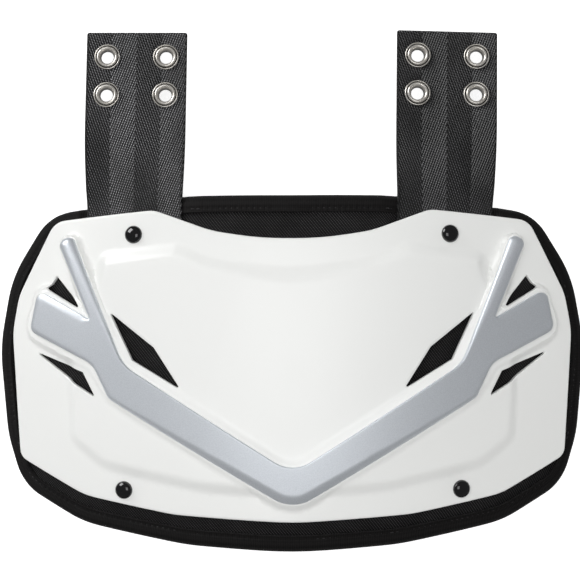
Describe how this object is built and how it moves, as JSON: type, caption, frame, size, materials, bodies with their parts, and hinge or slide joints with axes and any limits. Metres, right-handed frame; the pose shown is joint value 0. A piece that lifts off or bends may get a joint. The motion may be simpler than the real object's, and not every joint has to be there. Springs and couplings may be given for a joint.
{
  "type": "football back plate",
  "caption": "Arched lower-back protector: a ribbed white hard shell with a silver chevron on a taped foam pad, with webbing straps that carry eyelets.",
  "frame": {"origin": "centre of the overall box in X and Y, at the height of the surface that the pad's edge lies on", "axes": "+X across the wearer's back to the right of the picture, +Y up the back towards the strap ends, +Z out of the hard shell"},
  "size_m": [0.297, 0.2638, 0.0621],
  "materials": {
    "shell": "smooth white plastic with a soft gloss",
    "chevron": "satin silver coating on plastic",
    "pad": "black twill cover over foam",
    "tape": "black woven binding tape, stitched",
    "webbing": "charcoal herringbone webbing with a slight sheen",
    "eyelet": "polished nickel",
    "rivet": "glossy black enamel"
  },
  "bodies": {
    "root": {"shell": "shell", "chevron": "chevron", "pad": "pad", "edge_tape": "tape", "rivet_top_left": "rivet", "rivet_top_right": "rivet", "rivet_bottom_left": "rivet", "rivet_bottom_right": "rivet", "strap_left": "webbing", "strap_right": "webbing", "eyelet_left_1": "eyelet", "eyelet_left_2": "eyelet", "eyelet_left_3": "eyelet", "eyelet_left_4": "eyelet", "eyelet_right_1": "eyelet", "eyelet_right_2": "eyelet", "eyelet_right_3": "eyelet", "eyelet_right_4": "eyelet"}
  },
  "joints": []
}
